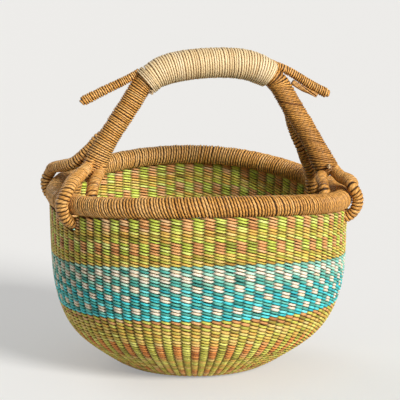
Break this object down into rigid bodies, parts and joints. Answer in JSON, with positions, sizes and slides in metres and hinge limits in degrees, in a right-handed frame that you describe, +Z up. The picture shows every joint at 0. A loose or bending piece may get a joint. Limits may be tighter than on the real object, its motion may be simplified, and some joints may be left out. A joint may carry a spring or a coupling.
{
  "type": "round market basket",
  "caption": "Small round twined straw market basket with a flat base, a wrapped rim roll and one arched, wrapped carrying handle threaded round the rim.",
  "frame": {"origin": "under the middle of the whole basket, on the surface that it stands on", "axes": "+Z up, +X along the handle's arch to the basket's right, -Y to the basket's front"},
  "size_m": [0.2788, 0.2708, 0.282],
  "materials": {
    "lower_weave": "twined dyed straw, orange and yellow-green",
    "band_weave": "twined dyed straw, turquoise with cream spots",
    "upper_weave": "twined dyed straw, lime green and salmon",
    "straw_bundle": "bundled dry straw",
    "rim_straw": "wound golden-brown straw",
    "handle_straw": "wound golden-brown straw",
    "grip_straw": "wound pale cream straw",
    "horn_straw": "wound golden-brown straw",
    "tie_straw": "tan straw tie and trimmed knots"
  },
  "bodies": {
    "basket": {"base_weave": "lower_weave", "lower_wall_weave": "lower_weave", "turquoise_band_weave": "band_weave", "upper_wall_weave": "upper_weave", "rim_core": "straw_bundle", "rim_binding_right": "rim_straw", "rim_binding_back": "rim_straw", "rim_binding_left": "rim_straw", "rim_binding_front": "rim_straw"},
    "handle": {"handle_core": "straw_bundle", "left_arm_binding": "handle_straw", "right_arm_binding": "handle_straw", "grip_end_tie": "tie_straw", "grip_binding": "grip_straw", "left_front_loop": "handle_straw", "left_back_loop": "handle_straw", "right_front_loop": "handle_straw", "right_back_loop": "handle_straw", "left_horn": "horn_straw", "right_horn": "horn_straw", "right_horn_tail": "horn_straw", "grip_tie_knot": "tie_straw", "right_crotch_knot": "tie_straw"}
  },
  "joints": [
    {"name": "handle_rock", "type": "hinge", "parent": "basket", "child": "handle", "pos_m": [0, 0, 0.152], "axis": [1, 0, 0], "range_deg": [-1.2, 1.2]}
  ]
}
